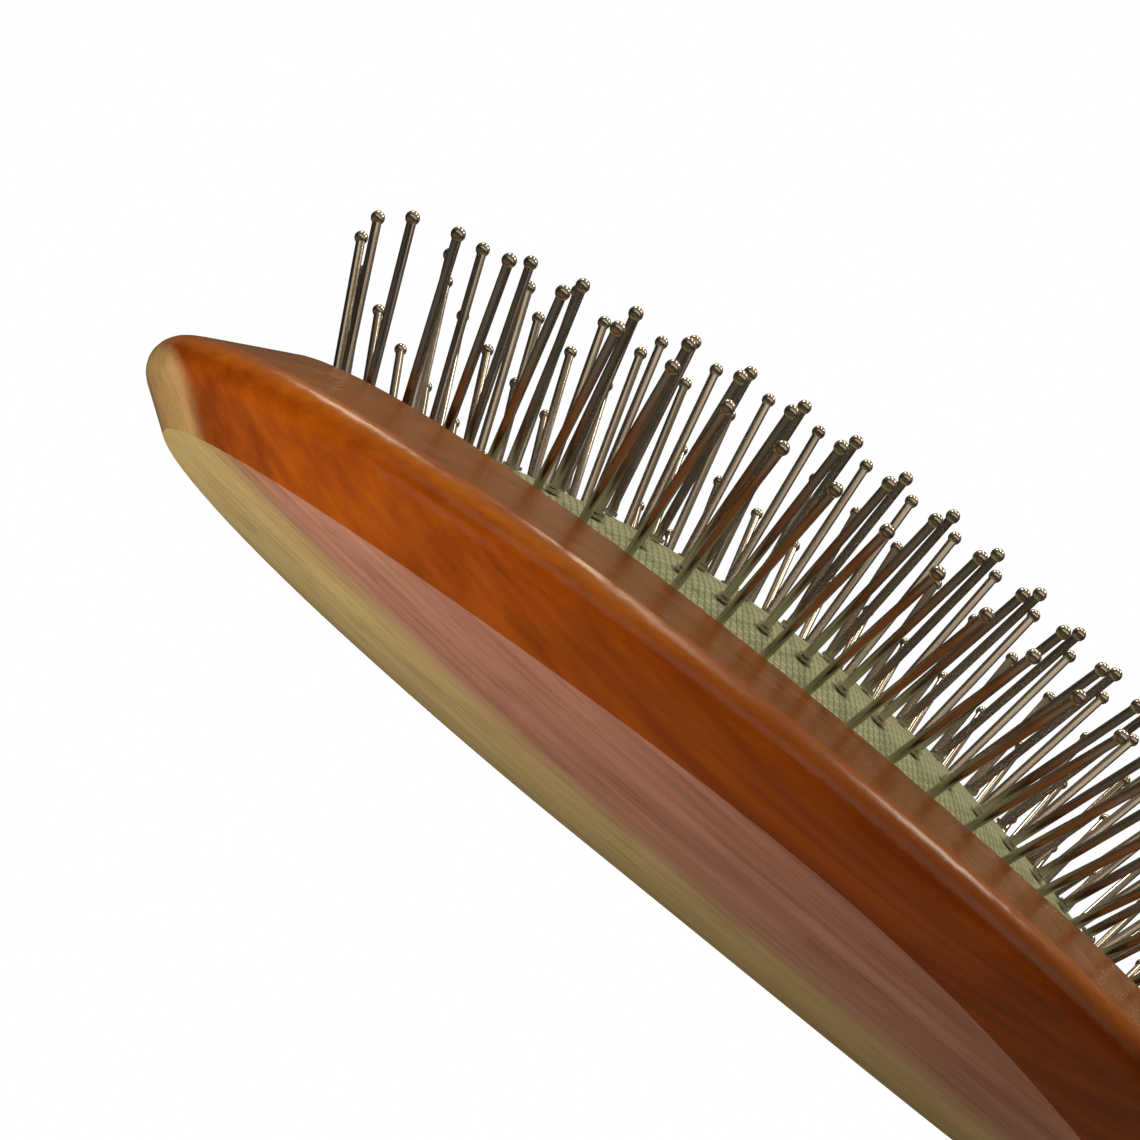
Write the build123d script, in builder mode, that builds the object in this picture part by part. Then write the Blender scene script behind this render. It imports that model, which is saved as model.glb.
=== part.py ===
"""Oval wooden pin brush for grooming pets, with an air cushion.

The brush lies on its back: the pins point along +Z, the head's toe points along -X and the handle along +X.
The origin is the middle of the length and width, on the surface that the flat of the back rests on.
All sizes are in millimetres.
"""

from build123d import *
import math
import os

os.makedirs("parts", exist_ok=True)

# ---------------------------------------------------------------- driving dimensions

# wooden body, along its length
overall_length = 237.8  # before the outer edge is rounded
toe_to_cushion = 65.6  # from the head's toe to the middle of the cushion
widest_ahead = 3.7  # the head is widest this far on the toe side of the cushion's middle
neck_after = 84.0  # from the middle of the cushion to the narrowest part of the handle
grip_after = 140.0  # from the middle of the cushion to the widest part of the handle

# wooden body, heights
edge_height = 7.6  # the outer edge, where the side facet meets the shoulder
crest_height = 13.9  # the rim around the cushion, and the top of the handle
back_rise = 2.8  # how far the domed back rises from its middle to the crisp edge
rest_cut = 0.1  # depth of the flat that the brush rests on
rounding_edge = 2.4
end_trim = 1.15  # rounding takes this much less off the handle than off the blunt toe
rounding_crest = 0.8
rounding_mouth = 0.35

# wooden body, half widths of the head at the three levels, and at the crisp edge of the back
head_half = 39.2
crest_half = 27.7
base_half = 27.2
back_half = 31.1
back_reach = 53.9  # from the widest place to the toe, along the crisp edge of the back
base_inset = 10.9  # the foot of the side starts this far behind the toe

# wooden body, half widths of the handle at the three levels
neck_edge_half = 11.5
neck_crest_half = 5.5
neck_base_half = 5.0
grip_edge_half = 14.2
grip_crest_half = 8.0
grip_base_half = 7.6
end_inset = 6.0  # the foot and the crest stop this far short of the handle's end

# cushion mouth in the wood
mouth_half = 26.7
mouth_reach = 54.3
stretch = mouth_reach / mouth_half  # every outline around the mouth is a circle drawn out along X
groove_half = 28.3
groove_floor = 8.4
groove_roof = 10.1
chamber_half = 25.0
chamber_floor = 5.0

# cushion
dome_rim = 10.0  # height at which the dome would meet the wall of the mouth at its sides
dome_rise = 14.0
dome_reach = 56.8  # from the middle to where the dome would come down to that height along X
dome_skirt = 28.2  # half width of the dome before it is trimmed to the mouth
canvas_thick = 0.5
rubber_thick = 2.0
edge_gap = 0.3  # between the cushion's edge and the wall of the mouth
bead_half = 28.0
bead_top = 9.8
bead_inner = 25.4

# pins
wire_radius = 0.4
ball_radius = 0.6
pin_reach = 16.6  # from the canvas to the top of the ball
collar_radius = 0.65
collar_thick = 0.3
collar_lift = 0.12  # clears the canvas, which curves under the collar
head_radius = 1.1
head_thick = 0.4
head_depth = 2.95  # the flat head lies under the rubber
hole_gap = 0.08
fan_x = 1.23  # the pins fan out a little more than the dome's own slope
fan_y = 1.25

# rings of pins: name, half length, half width, pins in the ring, first pin's offset in pitches
rings = [
    ("outer_ring", 49.5, 22.0, 54, 0.5),
    ("second_ring", 43.3, 15.8, 48, 0.0),
    ("third_ring", 37.1, 9.6, 36, 0.0),
    ("inner_ring", 30.9, 3.2, 28, 0.0),
]

# press of the cushion: it gives least at its rim and most over its middle
zones = 8
full_press_at = 0.9  # share of the dome's rise from which the cushion moves as one

toe_x = -overall_length / 2
cushion_x = toe_x + toe_to_cushion
widest_x = cushion_x - widest_ahead
neck_x = cushion_x + neck_after
grip_x = cushion_x + grip_after
dome_top = dome_rim + dome_rise


# ---------------------------------------------------------------- wooden body


def body_outline(height, toe, fullness, widest, half, reach, neck_half, grip_half, end):
    """Plan outline of head and handle at one height, drawn for +Y and mirrored."""
    toe_span = widest - toe
    grip_span = end - grip_x
    with BuildSketch(Plane.XY.offset(height)) as outline:
        with BuildLine():
            Bezier(
                (toe, 0),
                (toe, fullness * half),
                (widest - fullness * toe_span, half),
                (widest, half),
            )
            Bezier((widest, half), (widest + reach, half), (neck_x - 24, neck_half), (neck_x, neck_half))
            Bezier(
                (neck_x, neck_half),
                (neck_x + 26, neck_half),
                (grip_x - 26, grip_half),
                (grip_x, grip_half),
            )
            Bezier(
                (grip_x, grip_half),
                (grip_x + 0.62 * grip_span, grip_half),
                (end, 0.66 * grip_half),
                (end, 0),
            )
            mirror(about=Plane.XZ)
        make_face()
    return outline.sketch


def under_back():
    """Section of what lies under the domed back, in the plane across the head's widest place."""
    radius = back_half**2 / (2 * back_rise)
    side = back_half + 15
    side_height = radius - math.sqrt(radius**2 - side**2) - rest_cut
    with BuildSketch(Plane.YZ.offset(widest_x)) as section:
        with BuildLine():
            ThreePointArc((-side, side_height), (0, -rest_cut), (side, side_height))
            Polyline((side, side_height), (side, -5), (-side, -5), (-side, side_height))
        make_face()
    return section.sketch


toe_radius = back_reach**2 / (2 * back_rise)
handle_end = overall_length / 2 - end_trim
base_toe = toe_x + base_inset
crest_toe = cushion_x - mouth_reach - (crest_half - mouth_half)
crest_end = handle_end - end_inset - 0.5

with BuildPart() as wooden_body:
    base = body_outline(
        0, base_toe, 0.5, widest_x, base_half, 40, neck_base_half, grip_base_half, handle_end - end_inset
    )
    edge = body_outline(
        edge_height, toe_x, 0.489, widest_x, head_half, 44, neck_edge_half, grip_edge_half, handle_end
    )
    crest = body_outline(
        crest_height, crest_toe, 0.552, cushion_x, crest_half, 48, neck_crest_half, grip_crest_half, crest_end
    )
    loft(sections=[base, edge, crest], ruled=True)
    # the back: domed at the toe, a long gentle arch from there to the handle's end
    under = under_back()
    extrude(under, amount=overall_length, mode=Mode.SUBTRACT)
    toe_axis = Axis((widest_x, 0, toe_radius - rest_cut), (0, 1, 0))
    revolve(under, axis=toe_axis, revolution_arc=12, mode=Mode.SUBTRACT)
    # soft outer edge and soft crest
    outer_edge = wooden_body.edges().filter_by_position(Axis.Z, edge_height - 0.01, edge_height + 0.01)
    fillet(outer_edge, rounding_edge)
    crest_edge = wooden_body.edges().filter_by_position(Axis.Z, crest_height - 0.01, crest_height + 0.01)
    fillet(crest_edge, rounding_crest)
    # mouth, groove for the bead and air chamber
    with BuildSketch(Plane.XY.offset(groove_floor)) as mouth:
        with Locations((cushion_x, 0)):
            Ellipse(mouth_reach, mouth_half)
    extrude(amount=crest_height, mode=Mode.SUBTRACT)
    with BuildSketch(Plane.XY.offset(groove_floor)) as groove:
        with Locations((cushion_x, 0)):
            Ellipse(groove_half * stretch, groove_half)
    extrude(amount=groove_roof - groove_floor, mode=Mode.SUBTRACT)
    with BuildSketch(Plane.XY.offset(chamber_floor)) as chamber:
        with Locations((cushion_x, 0)):
            Ellipse(chamber_half * stretch, chamber_half)
    extrude(amount=groove_floor, mode=Mode.SUBTRACT)
    lip = wooden_body.edges().filter_by(GeomType.ELLIPSE).sort_by(Axis.Z)[-1]
    fillet(lip, rounding_mouth)

wooden_body.part.label = "wooden_body"
export_step(wooden_body.part, "parts/wooden_body.step")


# ---------------------------------------------------------------- pins: where they stand


def dome_height(x, y):
    """Height of the canvas over a point, x and y counted from the middle of the cushion."""
    return dome_top - dome_rise * ((x / dome_reach) ** 2 + (y / mouth_half) ** 2)


def even_angles(half_length, half_width, count, offset):
    """Ellipse angles that space the pins of one ring evenly along it, counted from the toe."""
    steps = 1440
    angles = [math.pi + math.tau * step / steps for step in range(steps + 1)]
    points = [(half_length * math.cos(angle), half_width * math.sin(angle)) for angle in angles]
    run = [0.0]
    for before, after in zip(points, points[1:]):
        run.append(run[-1] + math.dist(before, after))
    found = []
    for pin in range(count):
        wanted = (pin + offset) * run[-1] / count
        after = next(step for step, length in enumerate(run) if length > wanted)
        share = (wanted - run[after - 1]) / (run[after] - run[after - 1])
        found.append(angles[after - 1] + share * (angles[after] - angles[after - 1]))
    return found


def press_share(height):
    """How much of the middle's travel the cushion makes at this height of the dome."""
    rise = min(1.0, (height - dome_rim) / (full_press_at * dome_rise))
    return rise * rise * (3 - 2 * rise)


def pin_place(x, y):
    """Frame of one pin: on the canvas, its axis fanned outward."""
    lean_x = fan_x * 2 * dome_rise * x / dome_reach**2
    lean_y = fan_y * 2 * dome_rise * y / mouth_half**2
    return Plane(origin=(cushion_x + x, y, dome_height(x, y)), z_dir=(lean_x, lean_y, 1)).location


pin_groups = {}
for ring_name, ring_length, ring_width, ring_count, ring_offset in rings:
    for angle in even_angles(ring_length, ring_width, ring_count, ring_offset):
        pin_x = ring_length * math.cos(angle)
        pin_y = ring_width * math.sin(angle)
        zone = min(zones, 1 + int(zones * press_share(dome_height(pin_x, pin_y))))
        half = "toe" if pin_x < 0.5 * wire_radius else "heel"
        group = f"{ring_name}_pins_{half}_zone{zone}"
        pin_groups.setdefault(group, []).append(pin_place(pin_x, pin_y))
all_pins = [place for places in pin_groups.values() for place in places]


# ---------------------------------------------------------------- cushion


def dome_curve(drop, reach):
    """The dome's parabola from its top out to a radius, lowered by drop, as one Bezier curve."""
    edge_z = dome_top - drop - dome_rise * (reach / mouth_half) ** 2
    return Bezier((0, dome_top - drop), (reach / 2, dome_top - drop), (reach, edge_z))


def pin_holes():
    """Holes for the pins' wires, through the part that is being built."""
    with Locations(*all_pins):
        Cylinder(wire_radius + hole_gap, 8, mode=Mode.SUBTRACT)


edge_half = mouth_half - edge_gap
dome_stretch = dome_reach / mouth_half


def trim_to_mouth():
    """Keeps what lies inside the mouth, less the gap around the cushion's edge."""
    with BuildSketch(Plane.XY) as opening:
        Ellipse(edge_half * stretch, edge_half)
    extrude(opening.sketch, amount=2 * dome_top, mode=Mode.INTERSECT)


with BuildPart() as canvas_facing:
    with BuildSketch(Plane.XZ):
        with BuildLine():
            upper = dome_curve(0, dome_skirt)
            lower = dome_curve(canvas_thick, dome_skirt)
            Line(upper @ 0, lower @ 0)
            Line(upper @ 1, lower @ 1)
        make_face()
    revolve(axis=Axis.Z)
    scale(by=(dome_stretch, 1, 1))
    trim_to_mouth()
canvas_at_place = Pos(cushion_x, 0, 0) * canvas_facing.part

with BuildPart() as rubber_cushion:
    with BuildSketch(Plane.XZ):
        with BuildLine():
            upper = dome_curve(canvas_thick, edge_half + 1)
            inner_top = (0, dome_top - canvas_thick - rubber_thick)
            inner_control = (bead_inner / 2, inner_top[1])
            inner = Bezier(inner_top, inner_control, (bead_inner, groove_floor))
            Line(upper @ 0, inner_top)
            Polyline(upper @ 1, (edge_half + 1, groove_floor), inner @ 1)
        make_face()
    revolve(axis=Axis.Z)
    scale(by=(dome_stretch, 1, 1))
    trim_to_mouth()
    # the bead, which the wood's groove holds
    with BuildSketch(Plane.XY.offset(groove_floor)):
        Ellipse(bead_half * stretch, bead_half)
        Ellipse(bead_inner * stretch, bead_inner, mode=Mode.SUBTRACT)
    extrude(amount=bead_top - groove_floor)
rubber_at_place = Pos(cushion_x, 0, 0) * rubber_cushion.part

with BuildPart() as canvas_with_holes:
    add(canvas_at_place)
    pin_holes()

with BuildPart() as rubber_with_holes:
    add(rubber_at_place)
    pin_holes()

canvas_with_holes.part.label = "canvas_facing"
export_step(canvas_with_holes.part, "parts/canvas_facing.step")
rubber_with_holes.part.label = "rubber_cushion"
export_step(rubber_with_holes.part, "parts/rubber_cushion.step")

# ---------------------------------------------------------------- pins

with BuildPart() as pin:
    ball_centre = pin_reach - ball_radius
    neck_z = ball_centre - math.sqrt(ball_radius**2 - wire_radius**2)
    head_top = -head_depth
    head_bottom = head_top - head_thick
    collar_top = collar_lift + collar_thick
    with BuildSketch(Plane.XZ):
        with BuildLine():
            Polyline(
                (0, pin_reach),
                (0, head_bottom),
                (head_radius, head_bottom),
                (head_radius, head_top),
                (wire_radius, head_top),
                (wire_radius, collar_lift),
                (collar_radius, collar_lift),
                (collar_radius, collar_top),
                (wire_radius, collar_top),
                (wire_radius, neck_z),
            )
            ThreePointArc((wire_radius, neck_z), (ball_radius, ball_centre), (0, pin_reach))
        make_face()
    revolve(axis=Axis.Z)

for group, places in pin_groups.items():
    with BuildPart() as pins:
        with Locations(*places):
            add(pin.part)
    pins.part.label = group
    export_step(pins.part, f"parts/{group}.step")
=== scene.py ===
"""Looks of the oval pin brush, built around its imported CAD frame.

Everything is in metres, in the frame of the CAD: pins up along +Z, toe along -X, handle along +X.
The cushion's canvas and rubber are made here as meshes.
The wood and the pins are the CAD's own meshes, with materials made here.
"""

import math

import bmesh
import bpy
import numpy as np
from mathutils import Matrix, Vector


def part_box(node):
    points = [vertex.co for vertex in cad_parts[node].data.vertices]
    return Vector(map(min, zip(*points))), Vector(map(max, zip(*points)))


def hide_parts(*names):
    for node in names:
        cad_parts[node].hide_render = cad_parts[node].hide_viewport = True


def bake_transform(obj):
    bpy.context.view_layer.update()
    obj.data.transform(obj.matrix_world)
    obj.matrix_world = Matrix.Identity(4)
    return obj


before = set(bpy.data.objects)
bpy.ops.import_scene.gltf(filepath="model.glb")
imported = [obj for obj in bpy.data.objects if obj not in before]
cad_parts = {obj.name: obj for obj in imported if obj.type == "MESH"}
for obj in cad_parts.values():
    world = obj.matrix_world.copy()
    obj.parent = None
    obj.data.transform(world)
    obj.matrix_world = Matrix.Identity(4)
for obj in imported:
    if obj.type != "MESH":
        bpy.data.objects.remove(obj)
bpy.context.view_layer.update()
MM = 0.001

# ---------------------------------------------------------------- sizes taken from the frame

canvas_low, canvas_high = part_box("canvas_facing")
rubber_low, rubber_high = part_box("rubber_cushion")
wood_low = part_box("wooden_body")[0]

middle_x = (canvas_low.x + canvas_high.x) / 2
edge_half = canvas_high.y  # half width of the canvas
stretch = (canvas_high.x - canvas_low.x) / (canvas_high.y - canvas_low.y)
dome_top = canvas_high.z
bead_half = rubber_high.y
bead_floor = rubber_low.z

# ---------------------------------------------------------------- sizes of the cushion

DOME_RIM = 10.0 * MM
MOUTH_HALF = edge_half + 0.3 * MM
DOME_REACH = 56.8 * MM  # along X the dome would come down to its rim here, beyond the mouth
CANVAS_THICK = 0.5 * MM
RUBBER_THICK = 2.0 * MM
BEAD_TOP = 9.8 * MM
BEAD_INNER = 25.4 * MM
PIN_REACH = 16.6 * MM
EDGE_HEIGHT = 7.6 * MM
TOE_SLOPE = 1.43  # the side falls back this much along X for each unit below the outer edge
dome_rise = dome_top - DOME_RIM


# ---------------------------------------------------------------- camera


def add_camera():
    """A close camera a little below the cushion's rim, turned so that the brush runs down to the right."""
    azimuth, elevation, roll = math.radians(-11.215), math.radians(-13.524), math.radians(37.578)
    offset_from_cushion = Vector((-56.45, -159.47, -23.14)) * MM
    back = Vector(
        (
            math.sin(azimuth) * math.cos(elevation),
            -math.cos(azimuth) * math.cos(elevation),
            math.sin(elevation),
        )
    )
    level = (-back).cross(Vector((0, 0, 1))).normalized()
    upright = level.cross(-back)
    right = math.cos(roll) * level + math.sin(roll) * upright
    up = -math.sin(roll) * level + math.cos(roll) * upright
    camera = bpy.data.cameras.new("camera")
    camera.sensor_width = 36
    camera.lens = 60.9
    camera.clip_start = 0.005
    camera.clip_end = 20
    holder = bpy.data.objects.new("camera", camera)
    bpy.context.scene.collection.objects.link(holder)
    holder.matrix_world = Matrix(
        (
            (right.x, up.x, back.x, middle_x + offset_from_cushion.x),
            (right.y, up.y, back.y, offset_from_cushion.y),
            (right.z, up.z, back.z, offset_from_cushion.z),
            (0, 0, 0, 1),
        )
    )
    bpy.context.scene.camera = holder


# ---------------------------------------------------------------- node helpers


class Nodes:
    """A short way to write a material's node tree."""

    def __init__(self, tree):
        self.tree = tree

    def add(self, kind, **inputs):
        """A node of that kind. Inputs whose value is a socket are linked, the others are set."""
        settings = inputs.pop("settings", {})
        node = self.tree.nodes.new(kind)
        for name, value in settings.items():
            setattr(node, name, value)
        for name, value in inputs.items():
            place = int(name[1:]) if name[0] == "i" and name[1:].isdigit() else name.replace("_", " ")
            self.put(node.inputs[place], value)
        return node

    def put(self, socket, value):
        if isinstance(value, bpy.types.NodeSocket):
            self.tree.links.new(value, socket)
        else:
            socket.default_value = value

    def math(self, operation, a, b=0.0, clamp=False):
        node = self.add("ShaderNodeMath", settings={"operation": operation, "use_clamp": clamp}, i0=a, i1=b)
        return node.outputs[0]

    def ramp(self, factor, *stops):
        """A colour ramp; each stop is (position, colour)."""
        node = self.add("ShaderNodeValToRGB", Fac=factor)
        elements = node.color_ramp.elements
        while len(elements) < len(stops):
            elements.new(0.5)
        for element, (position, colour) in zip(elements, stops):
            element.position = position
            element.color = (*colour, 1)
        return node.outputs["Color"]

    def band(self, value, low, high, to_low=0.0, to_high=1.0):
        node = self.add("ShaderNodeMapRange", settings={"interpolation_type": "SMOOTHSTEP"}, Value=value)
        for name, number in (("From Min", low), ("From Max", high), ("To Min", to_low), ("To Max", to_high)):
            node.inputs[name].default_value = number
        return node.outputs["Result"]

    def mix(self, factor, a, b, blend="MIX"):
        node = self.add("ShaderNodeMix", settings={"data_type": "RGBA", "blend_type": blend})
        self.put(node.inputs["Factor"], factor)
        self.put(node.inputs["A"], a if isinstance(a, bpy.types.NodeSocket) else (*a, 1))
        self.put(node.inputs["B"], b if isinstance(b, bpy.types.NodeSocket) else (*b, 1))
        return node.outputs["Result"]

    def noise(self, vector, scale, detail=4.0, roughness=0.5):
        node = self.add("ShaderNodeTexNoise", Vector=vector, Scale=scale, Detail=detail, Roughness=roughness)
        return node.outputs["Fac"]

    def stretched(self, vector, x, y, z):
        node = self.add("ShaderNodeMapping", Vector=vector)
        node.inputs["Scale"].default_value = (x, y, z)
        return node.outputs["Vector"]

    def bump(self, height, distance, strength=1.0, normal=None):
        node = self.add("ShaderNodeBump", Height=height, Distance=distance, Strength=strength)
        if normal is not None:
            self.put(node.inputs["Normal"], normal)
        return node.outputs["Normal"]


def new_material(name):
    """A material with one Principled shader; returns the material, its node helper and the shader."""
    material = bpy.data.materials.new(name)
    material.use_nodes = True
    tree = material.node_tree
    tree.nodes.clear()
    nodes = Nodes(tree)
    output = tree.nodes.new("ShaderNodeOutputMaterial")
    shader = tree.nodes.new("ShaderNodeBsdfPrincipled")
    tree.links.new(shader.outputs["BSDF"], output.inputs["Surface"])
    return material, nodes, shader


# ---------------------------------------------------------------- materials


# tones of the wood, from the dark lines of its grain to the pale ones
SIDE = ((0.155, 0.025, 0.0004), (0.225, 0.042, 0.0007), (0.290, 0.063, 0.0016))
# painted light: tones of the rounded outer edge, brighter than the side's because that edge faces up to the
# lamps
RIM = ((0.330, 0.078, 0.0015), (0.520, 0.150, 0.0040))
# painted reflection: the shoulder's yellower, greyer brown stands in for the varnish's reflection
SHOULDER_SHEEN = ((0.210, 0.066, 0.005), (0.350, 0.118, 0.011))
# the back's pinker, paler tones: partly the wood's own colour, partly painted sheen of the varnish
BACK_TONES_AND_SHEEN = ((0.300, 0.118, 0.080), (0.400, 0.180, 0.125), (0.47, 0.240, 0.165))
# a pale tan for the back's stripe, partly painted sheen, and for the toe, where it is painted reflection
PALE_TAN_AND_SHEEN = ((0.460, 0.330, 0.140), (0.560, 0.420, 0.185), (0.62, 0.490, 0.235))
SIDE_PORES = (0.085, 0.016, 0.002)
BACK_PORES = (0.17, 0.066, 0.036)
STRIPE_MIDDLE = 7 * MM  # the pale stripe of the back lies this far to the left of the brush's middle
STRIPE_FADES = (11 * MM, 20 * MM)  # it fades out between these distances from its own middle
STRIPE_WANDER = 12 * MM

THREAD = 0.62 * MM
GAPS = (0.155, 0.190, 0.105)
THREADS = (0.350, 0.415, 0.245)
CROSSINGS = (0.560, 0.640, 0.430)


def by_grain(nodes, grain, tones):
    """Two or three tones spread over the grain."""
    places = (0.36, 0.66) if len(tones) == 2 else (0.36, 0.50, 0.66)
    return nodes.ramp(grain, *zip(places, tones))


def varnished_wood():
    """Orange-brown varnished wood with fine grain along X; its rounded outer edge is painted brighter as
    painted light, and its shoulder holds painted reflection.
    The back is matt and pinker, partly painted sheen, with a pale tan stripe; the toe is painted pale tan as
    painted reflection."""
    material, nodes, shader = new_material("varnished_wood")
    place = nodes.add("ShaderNodeTexCoord").outputs["Object"]
    xyz = nodes.add("ShaderNodeSeparateXYZ", Vector=place)
    facing = nodes.add("ShaderNodeSeparateXYZ", Vector=nodes.add("ShaderNodeNewGeometry").outputs["Normal"])
    back = nodes.band(facing.outputs["Z"], -0.90, -0.965)
    off_middle = nodes.math("ABSOLUTE", nodes.math("SUBTRACT", xyz.outputs["Y"], STRIPE_MIDDLE))

    # slow wander of the grain, growth bands, fine pores
    wander = nodes.noise(nodes.stretched(place, 6, 40, 40), 1.0, 3)
    bands = nodes.noise(nodes.stretched(place, 12, 620, 620), 1.0, 5, 0.6)
    pores = nodes.noise(nodes.stretched(place, 110, 2900, 2900), 1.0, 3, 0.6)
    mottle = nodes.noise(nodes.stretched(place, 90, 150, 150), 1.0, 3)
    grain = nodes.math("ADD", nodes.math("MULTIPLY", bands, 0.55), nodes.math("MULTIPLY", wander, 0.45))

    pale_tan_and_sheen = by_grain(nodes, grain, PALE_TAN_AND_SHEEN)
    stray = nodes.math("MULTIPLY", nodes.math("SUBTRACT", wander, 0.5), STRIPE_WANDER)
    stripe = nodes.math("ADD", off_middle, stray)
    # the back's tones, partly painted sheen: a pale tan stripe and a pinker brown
    flat = nodes.mix(nodes.band(stripe, *STRIPE_FADES), pale_tan_and_sheen, by_grain(nodes, grain, BACK_TONES_AND_SHEEN))
    # painted light: the rounded outer edge is blended towards the brighter rim tones as it turns up
    rim = nodes.band(facing.outputs["Z"], -0.10, 0.45, 0.0, 0.85)
    side = nodes.mix(rim, by_grain(nodes, grain, SIDE), by_grain(nodes, grain, RIM))
    # painted reflection: the up-facing shoulder is blended to its sheen-tinted tones
    shoulder = nodes.band(facing.outputs["Z"], 0.74, 0.86)
    side = nodes.mix(shoulder, side, by_grain(nodes, grain, SHOULDER_SHEEN))
    colour = nodes.mix(back, side, flat)
    # painted reflection: the toe's rounded end is blended towards pale tan
    below_edge = nodes.math("MAXIMUM", nodes.math("SUBTRACT", EDGE_HEIGHT, xyz.outputs["Z"]), 0.0)
    behind_toe = nodes.math("SUBTRACT", xyz.outputs["X"], nodes.math("MULTIPLY", below_edge, TOE_SLOPE))
    toe = nodes.band(behind_toe, wood_low.x + 1.5 * MM, wood_low.x - 0.3 * MM, 0.0, 0.55)
    colour = nodes.mix(toe, colour, pale_tan_and_sheen)
    pore_depth = nodes.math("ADD", nodes.math("MULTIPLY", back, 0.35), 0.14)
    dark_pores = nodes.math("MULTIPLY", nodes.band(pores, 0.54, 0.68), pore_depth)
    colour = nodes.mix(dark_pores, colour, nodes.mix(back, SIDE_PORES, BACK_PORES))
    colour = nodes.mix(nodes.band(mottle, 0.38, 0.66, 0.0, 0.20), colour, (0.42, 0.30, 0.20), "MULTIPLY")

    nodes.put(shader.inputs["Base Color"], colour)
    matt = nodes.math("MAXIMUM", nodes.math("MULTIPLY", back, 0.34), nodes.math("MULTIPLY", rim, 0.10))
    rough = nodes.math("ADD", matt, nodes.band(mottle, 0.3, 0.7, 0.15, 0.21))
    nodes.put(shader.inputs["Roughness"], rough)
    shader.inputs["IOR"].default_value = 1.45
    fine = nodes.bump(pores, 0.03 * MM, 0.45)
    waves = nodes.bump(nodes.noise(place, 800, 3), 0.03 * MM, 0.30, fine)
    nodes.put(shader.inputs["Normal"], waves)
    return material


def woven_canvas():
    """Sage-green plain weave; its threads follow the dome's curve across the brush."""
    material, nodes, shader = new_material("woven_canvas")
    place = nodes.add("ShaderNodeTexCoord").outputs["Object"]
    xyz = nodes.add("ShaderNodeSeparateXYZ", Vector=place)
    wobble = nodes.math("MULTIPLY", nodes.math("SUBTRACT", nodes.noise(place, 300, 2), 0.5), 0.35 * MM)
    across = xyz.outputs["Y"]
    curve = 2 / 3 * (dome_rise / MOUTH_HALF**2) ** 2
    cube = nodes.math("MULTIPLY", nodes.math("POWER", nodes.math("ABSOLUTE", across), 3.0), curve)
    along_curve = nodes.math("ADD", across, nodes.math("MULTIPLY", cube, nodes.math("SIGN", across)))
    turns = math.pi / THREAD
    warp = nodes.math("SINE", nodes.math("MULTIPLY", nodes.math("ADD", xyz.outputs["X"], wobble), turns))
    weft = nodes.math("SINE", nodes.math("MULTIPLY", nodes.math("ADD", along_curve, wobble), turns))
    over = nodes.math("MULTIPLY", warp, weft)
    crossings = nodes.math("MINIMUM", nodes.math("ABSOLUTE", warp), nodes.math("ABSOLUTE", weft))
    checks = nodes.math("ADD", nodes.math("MULTIPLY", crossings, 1.3), nodes.math("MULTIPLY", over, 0.45))
    weave = nodes.band(checks, -0.25, 1.35)
    slubs = nodes.noise(nodes.stretched(place, 220, 1500, 700), 1.0, 4, 0.6)
    fibres = nodes.noise(place, 5200, 2, 0.7)

    colour = nodes.ramp(weave, (0.10, GAPS), (0.45, THREADS), (0.85, CROSSINGS))
    colour = nodes.mix(nodes.band(slubs, 0.35, 0.75, 0.0, 0.25), colour, (0.42, 0.49, 0.31))
    colour = nodes.mix(nodes.band(fibres, 0.45, 0.8, 0.0, 0.20), colour, (0.52, 0.57, 0.36))
    # painted shade: the canvas is darkened in a ring around each pin's root
    near_pin = nodes.add("ShaderNodeAttribute", settings={"attribute_name": "pin_gap"}).outputs["Fac"]
    shade = nodes.band(near_pin, 0.55 * MM, 1.25 * MM, 0.72, 0.0)
    colour = nodes.mix(shade, colour, (0.055, 0.058, 0.032))

    nodes.put(shader.inputs["Base Color"], colour)
    shader.inputs["Roughness"].default_value = 0.92
    shader.inputs["Sheen Weight"].default_value = 0.25
    shader.inputs["Sheen Roughness"].default_value = 0.5
    cloth = nodes.bump(weave, 0.05 * MM, 0.6)
    nodes.put(shader.inputs["Normal"], nodes.bump(fibres, 0.03 * MM, 0.6, cloth))
    return material


def natural_rubber():
    """Matt dark rubber with a fine skin."""
    material, nodes, shader = new_material("natural_rubber")
    place = nodes.add("ShaderNodeTexCoord").outputs["Object"]
    skin = nodes.noise(place, 1800, 4, 0.6)
    cloud = nodes.noise(place, 160, 3)
    colour = nodes.ramp(cloud, (0.3, (0.045, 0.040, 0.033)), (0.7, (0.085, 0.076, 0.062)))
    nodes.put(shader.inputs["Base Color"], colour)
    nodes.put(shader.inputs["Roughness"], nodes.band(skin, 0.3, 0.7, 0.55, 0.75))
    nodes.put(shader.inputs["Normal"], nodes.bump(skin, 0.05 * MM, 0.5))
    return material


def polished_steel():
    """Bright drawn wire with small changes of tone and polish."""
    material, nodes, shader = new_material("polished_steel")
    place = nodes.add("ShaderNodeTexCoord").outputs["Object"]
    tone = nodes.noise(nodes.stretched(place, 400, 400, 90), 1.0, 2)
    colour = nodes.ramp(tone, (0.3, (0.44, 0.41, 0.37)), (0.7, (0.61, 0.58, 0.545)))
    nodes.put(shader.inputs["Base Color"], colour)
    shader.inputs["Metallic"].default_value = 1.0
    nodes.put(shader.inputs["Roughness"], nodes.band(tone, 0.3, 0.7, 0.14, 0.21))
    return material


def plain_floor():
    material, nodes, shader = new_material("pale_floor")
    place = nodes.add("ShaderNodeTexCoord").outputs["Object"]
    colour = nodes.ramp(nodes.noise(place, 6, 2), (0.3, (0.80, 0.80, 0.795)), (0.7, (0.84, 0.84, 0.835)))
    nodes.put(shader.inputs["Base Color"], colour)
    shader.inputs["Roughness"].default_value = 0.8
    shader.inputs["Emission Color"].default_value = (0.30, 0.33, 0.38, 1)
    shader.inputs["Emission Strength"].default_value = 1.0
    return material


# ---------------------------------------------------------------- cushion


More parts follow.
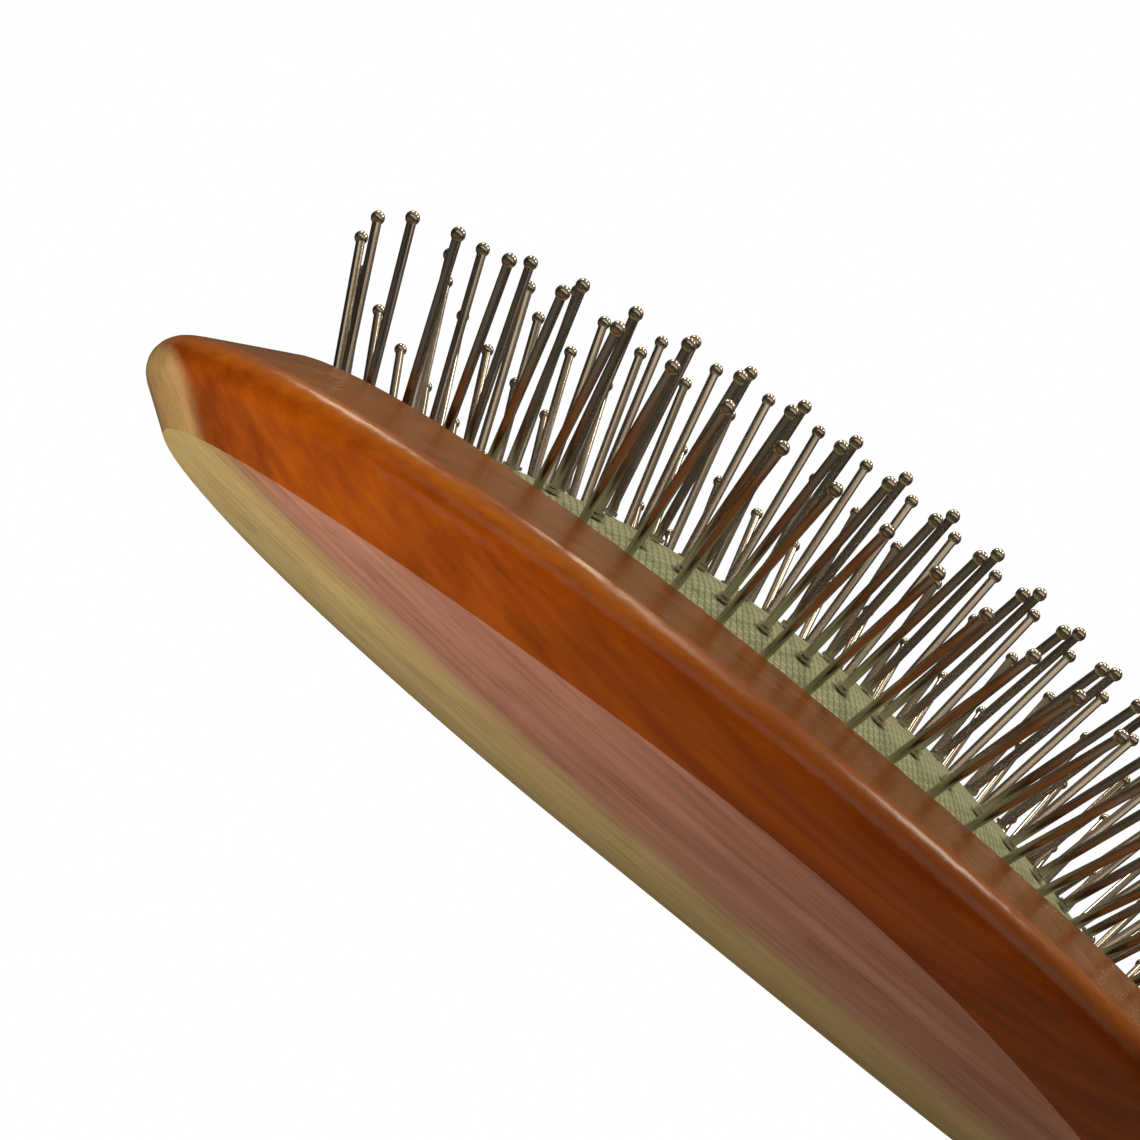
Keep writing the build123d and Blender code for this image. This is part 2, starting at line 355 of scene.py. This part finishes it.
def pin_roots():
    """Where each pin leaves the canvas, read from the frame's pin meshes."""
    roots = []
    for name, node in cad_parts.items():
        if "_pins_" not in name:
            continue
        mesh = bmesh.new()
        mesh.from_mesh(node.data)
        bmesh.ops.remove_doubles(mesh, verts=mesh.verts, dist=0.0001 * MM)
        left = set(mesh.verts)
        while left:
            seed = left.pop()
            island, edge_of_island = [seed], [seed]
            while edge_of_island:
                vert = edge_of_island.pop()
                for edge in vert.link_edges:
                    other = edge.other_vert(vert)
                    if other in left:
                        left.discard(other)
                        island.append(other)
                        edge_of_island.append(other)
            points = np.array([vert.co for vert in island])
            axis = np.linalg.svd(points - points.mean(0), full_matrices=False)[2][0]
            axis *= np.sign(axis[2])
            along = points @ axis
            tip = points[along.argmax()]
            roots.append(tip - axis * PIN_REACH)
        mesh.free()
    return np.array(roots)


def dome_height(x, y):
    """Height of the canvas over a point, x counted from the middle of the cushion."""
    return dome_top - dome_rise * ((x / DOME_REACH) ** 2 + (y / MOUTH_HALF) ** 2)


def closed_shell(name, rings, around):
    """A closed mesh from oval rings, from the top's middle over the edge to the underside's middle.
    Each ring is (half width, drop below the dome, height where it doesn't follow the dome)."""
    mesh = bmesh.new()
    made = []
    for half, drop, level in rings:
        steps = range(around if half > 0 else 1)
        ring = []
        for step in steps:
            turn = math.tau * step / around
            x, y = stretch * half * math.cos(turn), half * math.sin(turn)
            height = dome_height(x, y) - drop if level is None else level
            ring.append(mesh.verts.new((middle_x + x, y, height)))
        made.append(ring)
    for upper, lower in zip(made, made[1:]):
        for step in range(around):
            after = (step + 1) % around
            if len(upper) == 1:
                mesh.faces.new((upper[0], lower[step], lower[after]))
            elif len(lower) == 1:
                mesh.faces.new((upper[after], upper[step], lower[0]))
            else:
                mesh.faces.new((upper[step], lower[step], lower[after], upper[after]))
    for face in mesh.faces:
        face.smooth = True
    bmesh.ops.recalc_face_normals(mesh, faces=mesh.faces)
    data = bpy.data.meshes.new(name)
    mesh.to_mesh(data)
    mesh.free()
    piece = bpy.data.objects.new(name, data)
    bpy.context.scene.collection.objects.link(piece)
    return piece


def press_down_at_pins(piece, roots, depth, width, with_gap):
    """Sinks the surface a little around every pin, and may keep the distance to the nearest pin."""
    data = piece.data
    points = np.zeros(len(data.vertices) * 3)
    data.vertices.foreach_get("co", points)
    points = points.reshape(-1, 3)
    gap = np.full(len(points), 1.0)
    for root in roots:
        gap = np.minimum(gap, np.linalg.norm(points - root, axis=1))
    points[:, 2] -= depth * np.exp(-((gap / width) ** 2))
    data.vertices.foreach_set("co", points.ravel())
    if with_gap:
        attribute = data.attributes.new("pin_gap", "FLOAT", "POINT")
        attribute.data.foreach_set("value", gap.astype(np.float32))
    data.update()


def add_canvas(roots, material):
    """The woven facing: a domed oval skin, turned down at its edge."""
    count, around = 72, 560
    turn_in = 0.10 * MM
    top = [(edge_half * ring / count, 0, None) for ring in range(count)]
    hem = [
        (edge_half - turn_in, 0, None),
        (edge_half, turn_in, None),
        (edge_half, CANVAS_THICK - turn_in, None),
        (edge_half - turn_in, CANVAS_THICK, None),
    ]
    under = [(half, CANVAS_THICK, None) for half, drop, level in reversed(top[::3])]
    canvas = closed_shell("cushion_canvas", top + hem + under, around)
    press_down_at_pins(canvas, roots, 0.16 * MM, 0.95 * MM, True)
    canvas.data.materials.append(material)
    ride_on_cushion(canvas)
    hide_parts("canvas_facing")


def add_rubber(material):
    """The rubber body under the canvas, with the bead that sits in the wood's groove."""
    count, around = 24, 240
    soft = 0.25 * MM
    below_canvas = CANVAS_THICK + 0.02 * MM
    top = [(edge_half * ring / count, below_canvas, None) for ring in range(count)]
    side = [
        (edge_half, below_canvas, None),
        (edge_half + soft, 0, BEAD_TOP),
        (bead_half - soft, 0, BEAD_TOP),
        (bead_half, 0, BEAD_TOP - soft),
        (bead_half, 0, bead_floor + soft),
        (bead_half - soft, 0, bead_floor),
        (BEAD_INNER, 0, bead_floor),
    ]
    inner_top = dome_top - CANVAS_THICK - RUBBER_THICK
    under = []
    for ring in reversed(range(count)):
        share = ring / count
        under.append((BEAD_INNER * share, 0, inner_top - (inner_top - bead_floor) * share**2))
    rubber = closed_shell("cushion_rubber", top + side + under, around)
    rubber.data.materials.append(material)
    ride_on_cushion(rubber)
    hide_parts("rubber_cushion")


def ride_on_cushion(piece):
    """Bakes the piece's placement into its mesh."""
    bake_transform(piece)


# ---------------------------------------------------------------- carried-over CAD pieces


def dress(name, material):
    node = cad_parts[name]
    node.data.materials.clear()
    node.data.materials.append(material)


def dress_cad_nodes(wood, steel):
    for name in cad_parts:
        if "_pins_" in name:
            dress(name, steel)
    dress("wooden_body", wood)


# ---------------------------------------------------------------- studio


def area_light(name, place, aim, width, height, power, colour=(1, 1, 1)):
    light = bpy.data.lights.new(name, "AREA")
    light.shape = "RECTANGLE"
    light.size = width
    light.size_y = height
    light.energy = power
    light.color = colour
    holder = bpy.data.objects.new(name, light)
    bpy.context.scene.collection.objects.link(holder)
    holder.location = place
    holder.rotation_euler = (Vector(aim) - Vector(place)).to_track_quat("-Z", "Y").to_euler()
    holder.visible_camera = False
    return holder


def add_studio():
    """Two lamps overhead catch the outer edge and a long one lights the cushion.
    A low one near the toe lights the side and the back, and isn't mirrored in the varnish and the pins."""
    head = (middle_x, 0, 0.01)
    warm = (1.0, 0.84, 0.60)
    area_light("lamp_toe", (-0.336, 0.101, 0.432), head, 0.10, 0.10, 0.50, warm)
    area_light("lamp_heel", (0.164, -0.075, 0.456), head, 0.10, 0.10, 0.50, warm)
    area_light("strip", (-0.09, 0.0, 0.50), head, 0.50, 0.05, 0.6, warm)
    low_place = (-0.158, -0.068, -0.058)
    low_aim = (-0.09, -0.01, 0.005)
    low_lamp = area_light("low_toe", low_place, low_aim, 0.05, 0.05, 0.155, (1.0, 0.96, 0.88))
    low_lamp.visible_glossy = False


def add_world():
    """White to look at; as light it is a dim warm room with a bright patch low on its -Y side."""
    world = bpy.data.worlds.new("studio")
    world.use_nodes = True
    tree = world.node_tree
    tree.nodes.clear()
    nodes = Nodes(tree)
    way = nodes.add("ShaderNodeSeparateXYZ", Vector=nodes.add("ShaderNodeTexCoord").outputs["Generated"])
    height = way.outputs["Z"]
    room = nodes.ramp(
        nodes.math("ADD", nodes.math("MULTIPLY", height, 0.5), 0.5),
        (0.0, (0.20, 0.165, 0.115)),
        (0.20, (0.12, 0.10, 0.07)),
        (0.40, (0.03, 0.027, 0.024)),
        (0.62, (0.05, 0.040, 0.030)),
        (0.78, (0.20, 0.155, 0.105)),
        (0.88, (0.30, 0.235, 0.165)),
        (1.0, (0.32, 0.28, 0.22)),
    )
    near_side = nodes.band(way.outputs["Y"], -0.30, -0.80)
    front = nodes.math("MULTIPLY", near_side, nodes.band(height, -0.10, 0.10))
    front = nodes.math("MULTIPLY", front, nodes.band(height, 0.55, 0.25))
    room = nodes.mix(front, room, (0.90, 0.74, 0.55))
    light = nodes.add("ShaderNodeBackground", Color=room, Strength=1.0)
    seen = nodes.add("ShaderNodeBackground", Color=(1, 1, 1, 1), Strength=1.0)
    ray = nodes.add("ShaderNodeLightPath").outputs["Is Camera Ray"]
    both = nodes.add("ShaderNodeMixShader", i0=ray, i1=light.outputs[0], i2=seen.outputs[0])
    output = tree.nodes.new("ShaderNodeOutputWorld")
    tree.links.new(both.outputs[0], output.inputs["Surface"])
    bpy.context.scene.world = world


def add_floor():
    """A round pale floor, well below the brush because the camera looks up from under its rim.
    It takes light and shadow but doesn't light the brush."""
    mesh = bmesh.new()
    bmesh.ops.create_circle(mesh, cap_ends=True, segments=96, radius=1.1)
    data = bpy.data.meshes.new("floor")
    mesh.to_mesh(data)
    mesh.free()
    floor = bpy.data.objects.new("floor", data)
    floor.location = (0, 0, -0.26)
    bpy.context.scene.collection.objects.link(floor)
    data.materials.append(plain_floor())
    floor.visible_glossy = False
    floor.visible_diffuse = False


# ---------------------------------------------------------------- everything

add_camera()
bpy.context.scene.view_settings.view_transform = "Standard"
pins = pin_roots()
print("pins found in the frame:", len(pins))
add_rubber(natural_rubber())
add_canvas(pins, woven_canvas())
dress_cad_nodes(varnished_wood(), polished_steel())
add_floor()
add_studio()
add_world()
